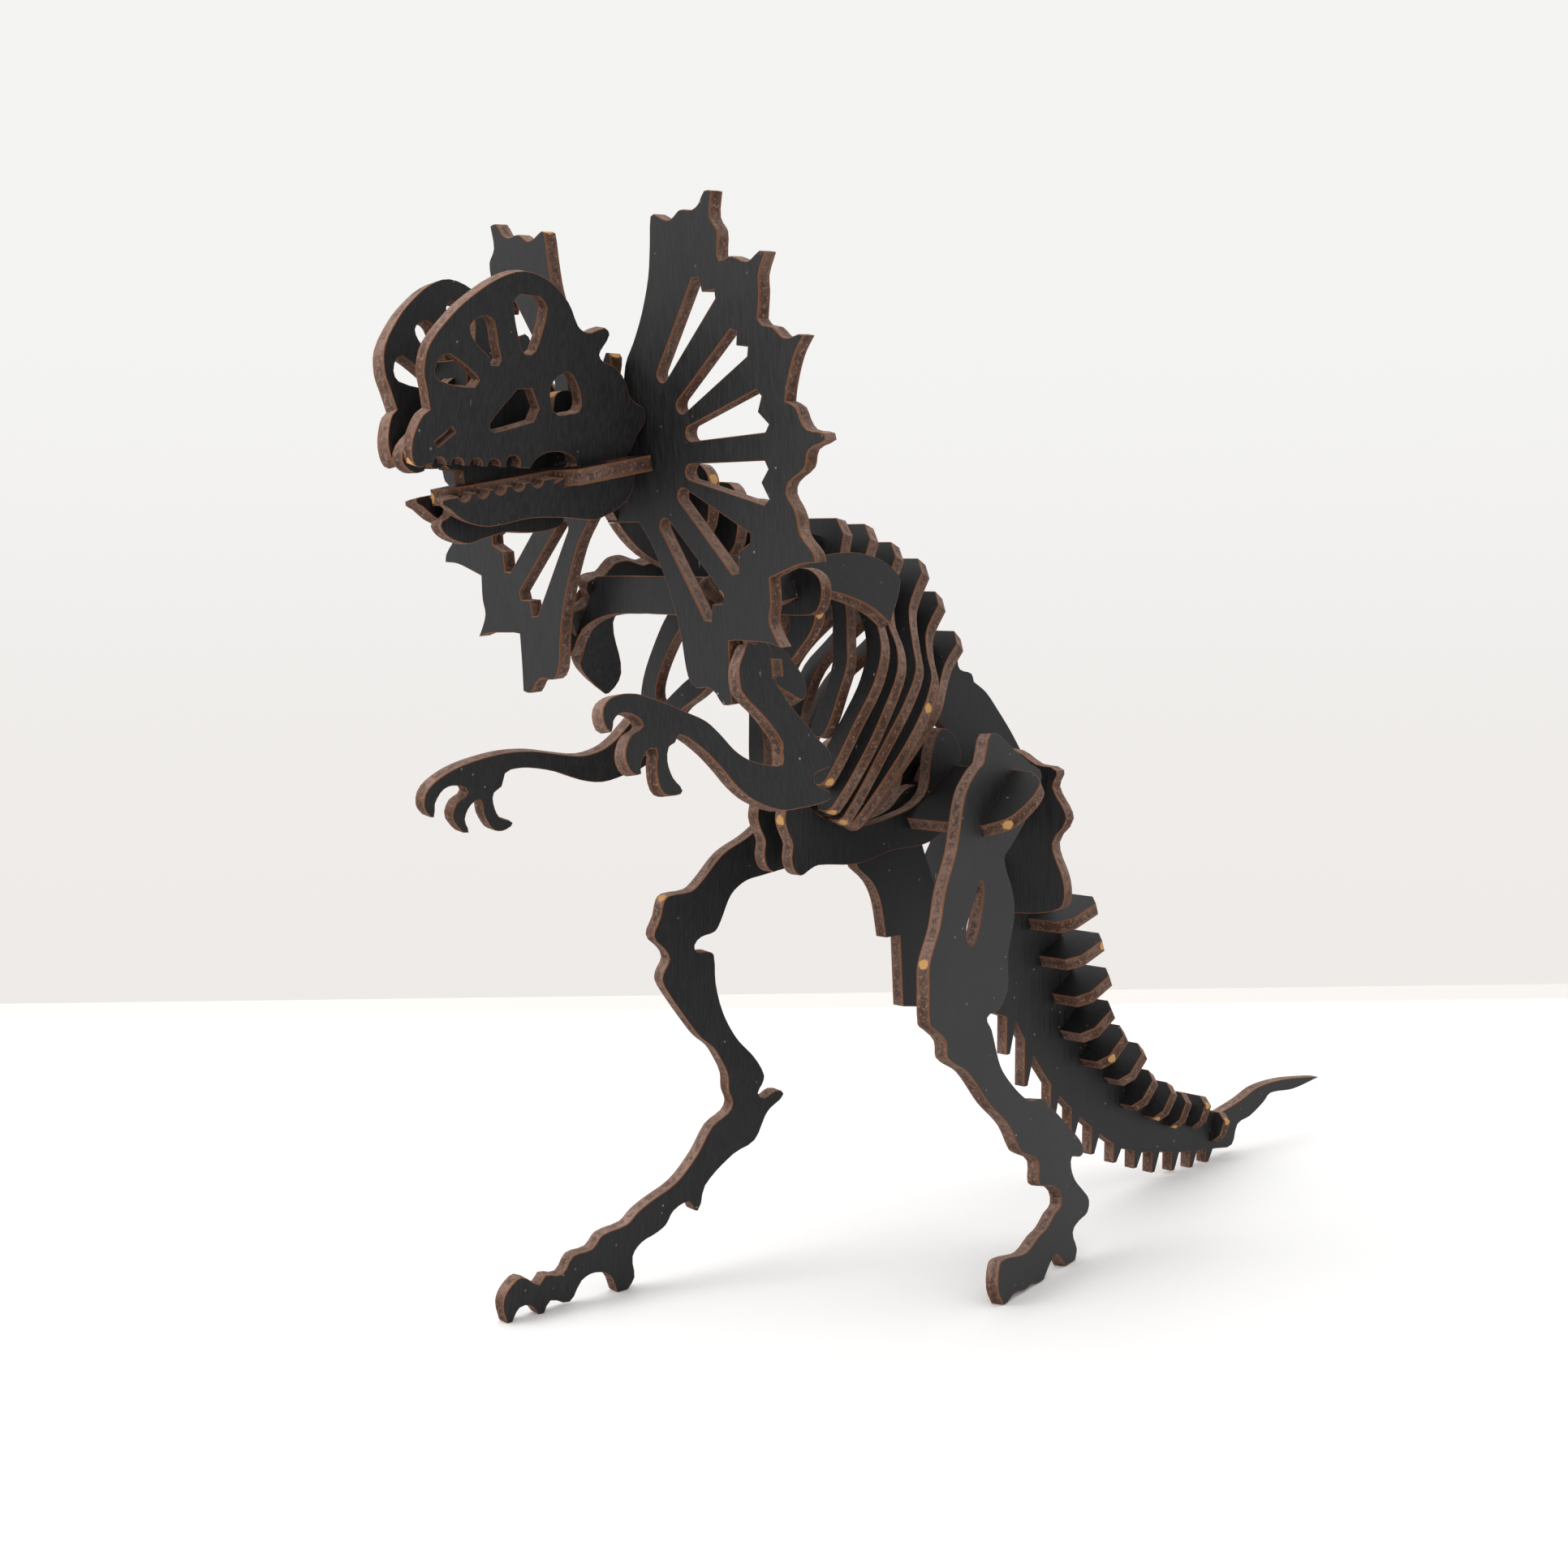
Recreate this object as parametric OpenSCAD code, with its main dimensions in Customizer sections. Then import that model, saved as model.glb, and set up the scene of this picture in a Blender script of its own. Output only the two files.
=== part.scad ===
/* [Sheet] */
// Thickness of the sheet, mm
t = 3; // [2.4:0.1:3.1]
// Clearance on each side of a slot, mm
fit = 0.1; // [0.05:0.01:0.2]

/* [Hind legs] */
// Outward lean of each hind leg, degrees
leg_lean = 4.5; // [3:0.1:6]
// Length of the hip board, mm
hip_board_l = 66; // [58:1:80]
// Width of the hip board, mm
hip_board_w = 20; // [15:0.5:22]

/* [Ribs] */
// Half width of a rib's top block, mm
block_w = 8; // [6.5:0.1:9.5]
// Width of a rib's band, mm
band_w = 4.2; // [3:0.1:4.6]

/* [Tail] */
// Half width of the tail disc nearest the hip, mm
disc_w = 14; // [10:0.5:17]
// Half width of the last tail disc, mm
disc_end_w = 5; // [4:0.5:7]

/* [Neck] */
// Half width of a neck disc, mm
neck_w = 8.5; // [6:0.5:12]

/* [Hidden] */
$fn = 32;
// Brings the middle of the overall length to the origin
x_mid = -17.85;
black = [0.16, 0.16, 0.17];
skull_lean = 9.5;
skull_yaw = 6.3;
skull_gap = 3.5;
jaw_gap = 4.9;
frill_tilt = -3.81;
deck_pitch = 10;
near_toe = 12;
far_toe = 3;
arm_lean = 8.5;
arm_y = 34.4;
scapula_lean = 25;
belly_y = 4;
occiput_x = -94;
occiput_level = 181;
peg_low = 118;
peg_top = 122.5;
rib_levels = -3;

// Which sub-part to draw

// Ribs: top centre x, z, tilt, then the band's outer curve as half width and depth
ribs = [
  [-30.3, 164.8, 10, [[8.2, 9], [11.2, 15], [12.6, 21.8], [13.4, 26.9], [12.3, 32.1], [9.5, 41.6]]],
  [-22, 163.6, 19, [[9, 9], [14.2, 16.5], [17.7, 22.2], [18.6, 26.8], [18.1, 32.1], [15.7, 39.2],
    [11, 52.7]]],
  [-13.8, 159.8, 24, [[8.6, 9], [11.2, 14.7], [15.7, 20.2], [17.9, 25.7], [17.4, 33], [15.3, 44.1],
    [10.8, 56.8]]],
  [-5.2, 156.3, 29.4, [[8.4, 9.1], [13.1, 17.4], [16.4, 23.2], [16.5, 30.9], [15.2, 38.7],
    [11.2, 58.3]]],
  [0.4, 149.1, 34.5, [[8.5, 8.1], [11.6, 13.2], [15.2, 18.4], [16.5, 26.7], [15.4, 38],
    [11, 54.4]]],
  [6.7, 140.3, 40, [[8.7, 9.1], [10.9, 16.9], [10.4, 24.8], [9, 34], [6.2, 47]]]
];
// Neck discs: x and top z
necks = [[-79, 184], [-70, 179], [-62, 175.6], [-44, 171.5]];
// Tail discs: centre x, z and the tilt of the plate from upright
discs = [
  [48, 76, 70], [52.2, 66.5, 68], [57, 57, 63], [60, 48, 56], [67.3, 40.4, 46], [77.1, 34.3, 40],
  [83.6, 26.4, 36], [93.9, 21.6, 28], [102.4, 17.6, 21], [113, 15.2, 16], [123.8, 9, 14]
];
// Prongs under the tail: x and tip z
prongs = [
  [33.5, 42.9], [40.5, 34], [51, 21.5], [59.5, 17.5], [68, 12], [77.5, 8], [86.5, 4.8], [94.5, 2.1],
  [103.5, 0.8], [112, 0], [119.5, 0]
];
// Lower edge of the tail between the prongs
tail_low = [
  [25.5, 54.8], [30.7, 53.1], [36.4, 50.9], [44.4, 40.2], [52.7, 30.8], [61.1, 23.8], [70.4, 17.3],
  [80.2, 11.3], [89.2, 8.5], [98.4, 6.8], [105.8, 5.3], [115.3, 4], [125.1, 2.8]
];

function unit(v) = v / max(norm(v), 0.001);
function flat(p) = [p[0], p[1]];
function steps(l) = l < 1.6 ? 1 : l < 3 ? 2 : l < 8 ? 3 : 5;
function bend(a, b, ta, tb, s) =
  (2 * s * s * s - 3 * s * s + 1) * a + (s * s * s - 2 * s * s + s) * ta
  + (3 * s * s - 2 * s * s * s) * b + (s * s * s - s * s) * tb;
// Closed curve through points; a third value of 1 keeps that corner sharp
function smooth(p) = [
  for (i = [0 : len(p) - 1])
    let (
      n = len(p),
      a = p[i],
      b = p[(i + 1) % n],
      chord = flat(b) - flat(a),
      l = norm(chord),
      ta = a[2] == 1 ? chord : unit(flat(b) - flat(p[(i + n - 1) % n])) * l,
      tb = b[2] == 1 ? chord : unit(flat(p[(i + 2) % n]) - flat(a)) * l,
      k = a[2] == 1 && b[2] == 1 ? 1 : steps(l)
    )
    for (j = [0 : k - 1]) bend(flat(a), flat(b), ta, tb, j / k)
];
// Whole outline from its right half, which starts and ends on the middle line
function whole(p) = concat(p, [for (i = [len(p) - 2 : -1 : 1]) [-p[i][0], p[i][1], p[i][2]]]);
function moved(p, d) = [for (q = p) [q[0] + d[0], q[1] + d[1], q[2]]];

// Upright plate along the length, its middle at y
module along(y = 0, grow = 0)
  translate([x_mid, y + t / 2 + grow, 0])
    rotate([90, 0, 0])
      linear_extrude(t + 2 * grow)
        children();

// Plate across the length: drawn in y and z from the point x, z, tilted top to the rear
module across(x, z = 0, tilt = 0, grow = 0)
  translate([x_mid + x, 0, z])
    rotate([0, tilt, 0])
      rotate([90, 0, 90])
        translate([0, 0, -t / 2 - grow])
          linear_extrude(t + 2 * grow)
            children();

module both()
{
  children();
  mirror([0, 1, 0]) children();
}

module rect(x0, x1, y0, y1)
  translate([x0, y0])
    square([x1 - x0, y1 - y0]);

// ---------- head ----------

// Plane of the left skull side; the jaw side is in a parallel one
module head_plane(gap, grow = 0)
  translate([x_mid - 137.9, -gap + grow, 187])
    rotate([0, 0, -skull_yaw])
      rotate([skull_lean, 0, 0])
        rotate([90, 0, 0])
          linear_extrude(t + 2 * grow)
            children();

// Everything above the deck's top (side 1) or below its underside (side -1), from x0 to x1
module deck_side(side, gap = 0, x0 = -30, x1 = 100)
  translate([x_mid - 134.7, 0, 172.3])
    rotate([0, -deck_pitch, 0])
      translate([x0, -60, side > 0 ? gap : -t - gap - 60])
        cube([x1 - x0, 120, 60]);

// Block that a tab takes in a head plate, between u0 and u1
module head_block(gap, u0, u1, grow = 0)
  head_plane(gap, grow) rect(u0 - grow, u1 + grow, -24, 6);

// Block that a tab takes in a middle plate, between x0 and x1
module middle_block(x0, x1, grow = 0)
  along(0, grow) rect(x0 - grow, x1 + grow, 150, 190);

skull_edge = concat(
  [
    [0.3, 0, 1], [-0.6, 3.4], [-1.5, 6.8], [-0.7, 11.3], [3.5, 16.8], [7, 20], [12.5, 23.7],
    [17.8, 25.3], [23.3, 23.9], [27.7, 20.4], [30.1, 16.5], [31.6, 15.5], [33.3, 15.4], [34.6, 16],
    [36.1, 16.5], [37.3, 15.3], [36.1, 13], [35.4, 11.5], [36.5, 10.3], [39.1, 9.5], [41.1, 7.9],
    [42.3, 6], [43.2, 4.1], [44.6, 3.1], [46.3, 2.4], [47.3, 0.8], [46.8, -1.2], [45.4, -3.2],
    [44.4, -6], [42.8, -7.5, 1], [42.6, -12, 1], [31.2, -16, 1], [31.2, -10, 1], [32.4, -8.7],
    [30.9, -7.1], [28.3, -6.6], [25.8, -6.8], [23.4, -8], [22.2, -9.8, 1]
  ],
  [[0.7, -9.6, 1], [-0.8, -10.2], [-2, -9.8], [-2.8, -8], [-2.8, -5.5], [-1.9, -2.6], [-0.9, -0.9]]
);

module skull_shape()
  difference()
  {
    polygon(smooth(skull_edge));
    for (u = [3, 6.7, 10.6, 14.4]) translate([u, -9.6]) circle(r = 1.35);
    translate([18.5, -9]) circle(r = 1.5);
    polygon(smooth([[0.7, 7], [1.6, 5.2], [9.1, 4.3], [10, 5.6], [9, 6.7], [3.4, 9.9], [2, 9.5]]));
    polygon(smooth([
      [7.3, 15], [8.5, 16.3], [10.5, 16.9], [12.1, 16], [13.3, 12], [14.2, 9.4], [13.7, 8.4, 1],
      [12.2, 8.4, 1], [11.8, 9.7], [9.5, 11.4], [7.8, 13.2]
    ]));
    polygon(smooth([
      [15.9, 19.6], [17.1, 21.1, 1], [21.3, 21, 1], [23.1, 19.1], [21.4, 11.4], [20.5, 10.7],
      [19.2, 10.7], [18.2, 11.8]
    ]));
    polygon(smooth([
      [12.9, -1.9], [18.2, 4.4, 1], [21.2, 4.6, 1], [23.1, 1.1, 1], [22.1, -1.3, 1], [13.9, -3.5],
      [13, -3]
    ]));
    polygon(smooth([
      [25.3, 5.3], [28.3, 7.9], [30, 7.3], [32.2, 3.1], [31.9, 1], [30.1, 0.5, 1], [27.5, 0.1],
      [26.3, 0.8]
    ]));
    polygon([[1.7, -5.5], [5.1, -2.8], [5.8, -3.8], [2.5, -6.5]]);
  }

module skull_side()
  difference()
  {
    head_plane(skull_gap) skull_shape();
    difference()
    {
      deck_side(-1, -t - fit, 26);
      head_block(skull_gap, 33.5, 37.5, 0.5);
    }
    deck_side(-1);
  }

module skull_left()
  color(black)
    skull_side();

module skull_right()
  color(black)
    mirror([0, 1, 0])
      skull_side();

module head_core()
  color(black)
    difference()
    {
      along()
        difference()
        {
          polygon(smooth([
            [-139.8, 180.4], [-140.4, 177.7], [-139, 176.1], [-137, 175.6], [-134, 176.5],
            [-127, 176.2, 1], [-126, 170, 1], [-116, 170, 1], [-105.4, 176, 1], [-105.4, 187],
            [-107, 190.5], [-112, 192.5], [-120, 193.4], [-126, 193.6], [-130, 192],
            [-133, 187.5], [-136.5, 183.6]
          ]));
          for (x = [-134.6, -131]) translate([x, 176.2]) circle(r = 0.9);
        }
      difference()
      {
        deck_side(-1, -t - fit);
        middle_block(-123.5, -118, 0.5);
      }
      deck_side(-1);
      across(-127, 0, 0, fit) rect(-20, 20, 191.6, 210);
    }

module crest_bar()
  color(black)
    across(-127)
      difference()
      {
        polygon([[-4.8, 189.8], [4.8, 189.8], [5.2, 196], [-5.2, 196]]);
        rect(-t / 2 - fit, t / 2 + fit, 180, 191.6);
      }

// Stands in the spine between the skull sides
module occiput()
  color(black)
    across(occiput_x)
      difference()
      {
        polygon(smooth(whole([
            [0, 189.5, 1], [2.6, 190], [3.8, 193], [4.2, 196.4], [5.2, 199.2], [6.6, 198.4],
            [6.2, 195.5], [5.3, 190], [4.5, 185], [3.7, 180, 1], [3.3, 177.5, 1], [0, 177.5, 1]
          ])));
        rect(-t / 2 - fit, t / 2 + fit, 170, occiput_level);
      }

module jaw_deck()
  color(black)
    difference()
    {
      translate([x_mid - 134.7, 0, 172.3])
        rotate([0, -deck_pitch, 0])
          translate([0, 0, -t])
            linear_extrude(t)
              difference()
              {
                polygon([
                  [3.4, -2.6], [25.5, -5.6], [25.5, -13.2], [44, -13.2], [44, 13.2], [25.5, 13.2],
                  [25.5, 5.6], [3.4, 2.6]
                ]);
                rect(35, 60, -t / 2 - fit, t / 2 + fit);
              }
      both()
      {
        head_block(skull_gap, 33, 38, fit);
        head_block(jaw_gap, 38.8, 42.8, fit);
      }
      middle_block(-124, -117.5, fit);
      middle_block(-115.5, -109.5, fit);
    }

module jaw_shape()
  difference()
  {
    polygon(smooth([
      [3.2, -16], [5.5, -15.5, 1], [26.8, -11.4, 1], [26.8, -12.4, 1], [37, -7, 1],
      [45, -5, 1], [44.6, -13.3], [43.7, -15], [41.4, -17.1], [38.7, -18.4], [36.4, -19.2], [29.7, -18.8],
      [22.9, -18.9], [19.4, -19.5], [15.8, -20.3], [12.8, -20.6], [9.7, -20.2], [6.9, -19.1],
      [4.7, -17.5], [3.2, -16.8]
    ]));
    for (u = [7.7, 11.5, 15.1, 19, 23]) translate([u, -15 + (u - 7.7) * 0.19]) circle(r = 1.2);
  }

module jaw_side()
  difference()
  {
    head_plane(jaw_gap) jaw_shape();
    difference()
    {
      deck_side(1, -t - fit, 25.4);
      head_block(jaw_gap, 39.3, 42.3, 0.5);
    }
    deck_side(1, 0, 25.4);
  }

module jaw_left()
  color(black)
    jaw_side();

module jaw_right()
  color(black)
    mirror([0, 1, 0])
      jaw_side();

module jaw_centre()
  color(black)
    difference()
    {
      along()
        polygon(smooth([
          [-131.8, 167.2], [-132.2, 166.2], [-130.9, 164.6], [-128.7, 163.6], [-125.8, 163.1],
          [-122.9, 163.9], [-117, 165.3], [-111.6, 165.2], [-105.6, 166], [-103, 167.7],
          [-103.5, 182, 1], [-128, 180, 1], [-129.5, 168.5]
        ]));
      difference()
      {
        deck_side(1, -t - fit);
        middle_block(-115, -110, 0.5);
      }
      deck_side(1);
    }

// ---------- frill ----------

frill_edge = [
  [15.2, 223.9], [16.1, 224.3], [18.3, 223.2], [20.4, 222.8], [23.1, 224.3], [26.3, 224],
  [28.1, 224.9], [29.7, 227], [31.6, 226.8, 1], [30.9, 222.3], [32.6, 219.6], [32.3, 215.5],
  [32.8, 214.4], [35.8, 214.9], [38.4, 213.9], [40, 213.6], [41.7, 214.5], [43, 215.2],
  [44.4, 214.9, 1], [42.5, 211], [42.5, 208.3], [41.8, 203.4, 1], [42.9, 202.2], [45.3, 201.7],
  [47.8, 199.7], [49.8, 199.6], [51.6, 200], [52.9, 199.7, 1], [50.8, 197.1], [49.4, 194.3],
  [48.2, 190.8], [47.7, 188.5, 1], [50.2, 187.3], [51.2, 185.1], [52.7, 183.3], [56.8, 182.5],
  [57.1, 181.3], [52.9, 179.7], [51.7, 176.6], [47.7, 174.1], [47, 172.1], [49, 168.9],
  [50, 164.7], [53, 161.5], [53.4, 159.8, 1], [49.4, 159.5], [44.3, 157.9], [41.7, 157, 1],
  [41.8, 152.1], [41.2, 149.1], [42.5, 146.2], [43.8, 144.3, 1], [40.5, 145.1], [32.4, 145.4, 1],
  [30.4, 145.2, 1], [30.3, 139], [30.4, 133.4, 1], [28, 133.1], [26.2, 135.2], [24.2, 136.3],
  [21, 136.1], [18.9, 138], [17.4, 146.4], [15.6, 152.5], [13.1, 158.6], [10.2, 164]
];
// Upper inner edge of the frill, above its tab
frill_inner = [[3.9, 180.5], [4.3, 186], [6, 197.1], [8.7, 201.4], [11.4, 206.5], [13.7, 213], [14.6, 218.8]];

// Slots of the frill: inner end, then the two corners of the wide end
frill_slots = [
  [[15.3, 193.8], [26.8, 213.4], [31.7, 208.3]],
  [[19.9, 188.1], [36.6, 203.2], [39.1, 197.3]],
  [[21.8, 183.5], [42.4, 191.2], [43.3, 183.4]],
  [[21.2, 176.8], [43.7, 177.9], [42.2, 170.1]],
  [[19, 173.1], [38.9, 163.9], [32.8, 157.2]],
  [[13.9, 167.8], [30.7, 152.5], [25, 148.1]]
];

// Wedge slot with a round inner end and a stepped wide end
module frill_slot(s)
{
  mid = (s[1] + s[2]) / 2;
  dir = unit(mid - s[0]);
  side = [-dir[1], dir[0]];
  w = norm(s[1] - s[2]) / 2;
  l = norm(mid - s[0]);
  r = 1.5;
  translate(s[0])
    rotate(atan2(dir[1], dir[0]))
    {
      translate([r, 0]) circle(r = r);
      polygon([
        [r, -r], [l - 1.2, -w], [l, -w + 1.2], [l - 2.2, 0], [l - 0.6, w - 1.4], [l - 1.6, w],
        [r, r]
      ]);
    }
}

// Outline of a half with its tab, which goes through the spine, from z0 up to z1
function frill_outline(z0, z1) = concat(
  frill_edge,
  z0 > 170 ? [[7, 167.9], [4.4, 171.5]] : [],
  [
    [z0 > 170 ? 3.9 : 7.4, z0, 1], [-t / 2, z0, 1], [-t / 2, z1, 1], [z0 > 170 ? 3.9 : 4.6, z1, 1]
  ],
  frill_inner
);

module frill_half(z0, z1)
  across(-87.4, 160.4, frill_tilt)
    translate([0, -160.4])
      difference()
      {
        polygon(smooth(frill_outline(z0, z1)));
        for (s = frill_slots) frill_slot(s);
      }

module frill_left()
  color(black)
    mirror([0, 1, 0])
      frill_half(167.5, 171.5);

module frill_right()
  color(black)
    frill_half(174.5, 178.5);

// ---------- spine and neck ----------

spine_edge = [
  [-105, 180, 1], [-99.2, 179.8, 1], [-94, 174.2], [-88, 166], [-82, 161.2], [-75, 158.5],
  [-68, 155.5], [-64, 151], [-60, 149.6], [-50, 149.6], [-46, 152], [-40, 153.5], [-30, 152],
  [-20, 149.5], [-10, 144], [-2, 136.5], [7.1, 124.6], [12.5, 119.5], [10, 116], [5.5, 114.6],
  [2.6, 111], [2.4, 106.5], [8, 101.5], [15, 97.5], [24, 95.6], [33, 96], [38, 101],
  [39, 108], [37.8, 115.3, 1], [33.7, 120.3], [29, 125.3], [24.5, 129.7], [20, 132.3, 1],
  [19.1, 134.2], [15, 135.3], [14.1, 137.2], [14.6, 140.5, 1], [8.9, 140.6, 1], [7.4, 139.2],
  [0.4, 147.8], [-5.2, 155], [-13.8, 159.5], [-22, 163], [-30.3, 165], [-44, 167], [-52.5, 168.5],
  [-62, 171], [-70, 174], [-79, 178.6], [-86, 182], [-93, 186], [-98, 190.5], [-102, 192],
  [-105, 190.5]
];

module spine()
  color(black)
    difference()
    {
      along() polygon(smooth(spine_edge));
      across(occiput_x, 0, 0, fit) rect(-20, 20, occiput_level, 210);
      across(-87.4, 160.4, frill_tilt, fit)
        translate([0, -160.4])
        {
          rect(-9, 9, 167.5 - fit, 171.5 + fit);
          rect(-9, 9, 174.5 - fit, 178.5 + fit);
        }
      for (d = necks) across(d[0], 0, 0, fit) rect(-20, 20, d[1] - 8.5, 220);
      across(-52.5, 0, 0, fit) rect(-20, 20, 165, 220);
      across(-57, 0, 0, fit) rect(-20, 20, 100, 154.6);
      for (r = ribs) across(r[0], r[1], r[2], fit) rect(-20, 20, rib_levels, 30);
      across(30, 0, 0, fit) rect(-20, 20, 60, 105);
      hip_board_slab(1, 5);
    }

module neck_disc(i)
  color(black)
    across(necks[i][0], necks[i][1])
      difference()
      {
        polygon(smooth(whole([
            [0, 0, 1], [neck_w - 3, 0], [neck_w - 0.6, -2], [neck_w, -5], [neck_w - 0.8, -12],
            [neck_w - 3.5, -15, 1], [2.5, -15, 1], [0, -13, 1]
          ])));
        rect(-t / 2 - fit, t / 2 + fit, -30, -8.5);
      }

module neck_disc_1() neck_disc(0);
module neck_disc_2() neck_disc(1);
module neck_disc_3() neck_disc(2);
module neck_disc_4() neck_disc(3);

// ---------- shoulder ----------

// Plane of the left scapula, its outer face through y -22 at z 150
module scapula_plane(grow = 0)
  translate([x_mid, -22, 150])
    rotate([-scapula_lean, 0, 0])
      translate([0, t + grow, 0])
        rotate([90, 0, 0])
          linear_extrude(t + 2 * grow)
            scale([1, 1 / cos(scapula_lean)])
              translate([0, -150])
                children();

scapula_edge = [
  [-66.2, 160.8], [-67.8, 160.3], [-70.3, 160.8], [-72.7, 161.3], [-75.8, 160.7], [-77, 159.4],
  [-78, 158], [-80.1, 157.7], [-81.9, 156.9], [-81.8, 155.6], [-79.6, 152.8], [-80.5, 151.8],
  [-84, 150.4], [-82.8, 148.7], [-80.2, 145.3], [-78.6, 141.9], [-76.3, 138.8], [-73.4, 136.6],
  [-69.6, 134.4], [-66.6, 133.4], [-64.8, 137.7], [-71.5, 148.5], [-69.9, 151.4], [-65.3, 151.8],
  [-60, 152.6], [-53.2, 154], [-47.4, 153.7], [-40.9, 151.9], [-37, 149.9], [-34.1, 147.2, 1],
  [-26.2, 156], [-27.5, 158.5], [-31.4, 160.7], [-38.3, 161.8], [-46, 161.3], [-49.3, 160.5],
  [-56, 159.8], [-62, 160.6]
];

module scapula_side()
  difference()
  {
    scapula_plane() polygon(smooth(scapula_edge));
    across(-57, 0, 0, fit) rect(-40, 40, 120, 156);
    across(-79, 0, 0, fit) rect(-40, 40, 120, 150);
  }

module scapula_left()
  color(black)
    scapula_side();

module scapula_right()
  color(black)
    mirror([0, 1, 0])
      scapula_side();

module shoulder_cross()
  color(black)
    difference()
    {
      across(-57)
        difference()
        {
          polygon(smooth(whole([
              [0, 158.6, 1], [18, 158.6], [23, 158.4], [26, 156.5], [26.6, 153], [25, 150],
              [21, 149.2], [8, 149.6, 1], [0, 149.6, 1]
            ])));
          rect(-t / 2 - fit, t / 2 + fit, 154.6, 170);
        }
      both()
        intersection()
        {
          scapula_plane(fit) rect(-70, -40, 130, 180);
          across(-57, 0, 0, 5) rect(-40, 40, 156, 180);
        }
    }

// The near end goes on through the left arm, the far end stops at the scapula
module arm_cross()
  color(black)
    difference()
    {
      across(-79)
        polygon(smooth([
          [0, 157, 1], [10, 157], [17, 156.4], [22, 152.5], [25.5, 146], [26, 141.5], [23.5, 140.5],
          [19.5, 146], [12, 149], [0, 149.6, 1], [-12, 149], [-19.5, 146], [-25, 140.5], [-30, 138.3, 1],
          [-arm_y - 0.2, 138.3, 1], [0.2 - arm_y, 141.6, 1], [-30, 141.8], [-27.8, 143], [-26, 146],
          [-22, 152.5], [-17, 156.4], [-10, 157]
        ]));
      both()
        intersection()
        {
          scapula_plane(fit) rect(-95, -60, 120, 180);
          across(-79, 0, 0, 5) rect(-40, 40, 150, 180);
        }
    }

// The far end of the hoop curls inward and carries a peg for the right arm
module chest_hoop()
  color(black)
    across(-52.5)
      difference()
      {
        polygon(smooth([
          [0, 172.4, 1], [5.5, 172.4], [8, 169.5], [8, 164], [9.4, 158.6], [13, 154], [18.5, 151.6],
          [22.5, 148.5], [27, 141.5], [30.2, 134.5], [31.2, 128], [31.2, peg_top, 1],
          [37, peg_top, 1], [37, peg_low, 1], [29.5, peg_low, 1], [26, 120.5], [21.5, 125.2],
          [17.8, 128.8], [13.5, 131.2], [10, 133.8], [9.2, 136], [11.6, 137], [16.3, 135],
          [20.8, 131.9], [24.3, 129.6], [26, 130.6], [25.8, 134], [22.8, 140], [18, 146.3],
          [12.6, 149.4], [8.2, 152.6], [4.6, 158.5], [0, 162, 1], [-4.6, 158.5], [-8.2, 152.4],
          [-12.6, 149.2], [-13.6, 146.4], [-10.4, 143], [-7.9, 139.4], [-9.4, 137.4],
          [-12.4, 138.6], [-16, 142], [-19.6, 146], [-20.6, 149.6], [-18, 151.8], [-12.6, 154],
          [-9.4, 158.6], [-8, 164], [-8, 169.5], [-5.5, 172.4]
        ]));
        rect(-t / 2 - fit, t / 2 + fit, 130, 165);
      }

// Plane of the left arm, its outer face through the arm's y at z 140
module arm_plane(grow = 0)
  translate([x_mid, -arm_y, 140])
    rotate([-arm_lean, 0, 0])
      translate([0, t + grow, 0])
        rotate([90, 0, 0])
          linear_extrude(t + 2 * grow)
            translate([0, -140])
              children();

arm_edge = moved([
  [-75.8, 144.5], [-74, 144.2, 1], [-72.4, 145.2], [-70.9, 144.5], [-69.8, 143.1], [-69.5, 140.4],
  [-69.4, 136.7], [-68.1, 134.9], [-66, 132.1], [-62.2, 128.4], [-60, 125.9], [-57.3, 123.7],
  [-56.6, 121.8], [-57.4, 120.2], [-59.8, 119.6], [-61.8, 118.9], [-62, 117.6], [-60.3, 116.4],
  [-58.1, 115.5], [-57.8, 114.2], [-60.3, 113.4], [-66.2, 112.9], [-71.9, 112.9], [-78.5, 115.2],
  [-82.6, 118.1], [-86.4, 122.1], [-90.5, 125.7], [-95.6, 128.5], [-97, 127.1], [-98.6, 126.4],
  [-99.3, 123.9], [-98.4, 120.9], [-96.4, 118.4], [-98, 117.7], [-101, 118.2], [-102.1, 120.3],
  [-102.1, 123.5], [-101.7, 126.3], [-104.6, 125.6], [-105.9, 123.3], [-105.9, 122.1],
  [-107.9, 122.3], [-109.2, 124.3], [-109, 126.7], [-107.3, 129.1], [-104.3, 130.6],
  [-105.7, 132.3], [-108.1, 133], [-109.8, 132.8], [-111.1, 131.7], [-111.8, 129.8],
  [-113, 130.5], [-113.5, 133], [-112.4, 135.1], [-109.3, 136.3], [-105.1, 136.3],
  [-102, 135.5], [-97.9, 134.2], [-93.5, 132.5], [-88.8, 130.6], [-85.5, 128], [-82.3, 124.9],
  [-79.1, 123], [-75, 121.8], [-70.1, 121.5], [-69.8, 123.8], [-69.5, 125.5], [-73.7, 130.7],
  [-78.7, 135.3], [-79.1, 138.7], [-78.6, 140.7], [-77.2, 142.7]
], [-10.2, 0.4]);

module arm_cross_gap()
  across(-79, 0, 0, fit) rect(-50, 50, 138.3 - fit, 141.6 + fit);

module arm_left()
  color(black)
    difference()
    {
      arm_plane() polygon(smooth(arm_edge));
      arm_cross_gap();
    }

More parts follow.
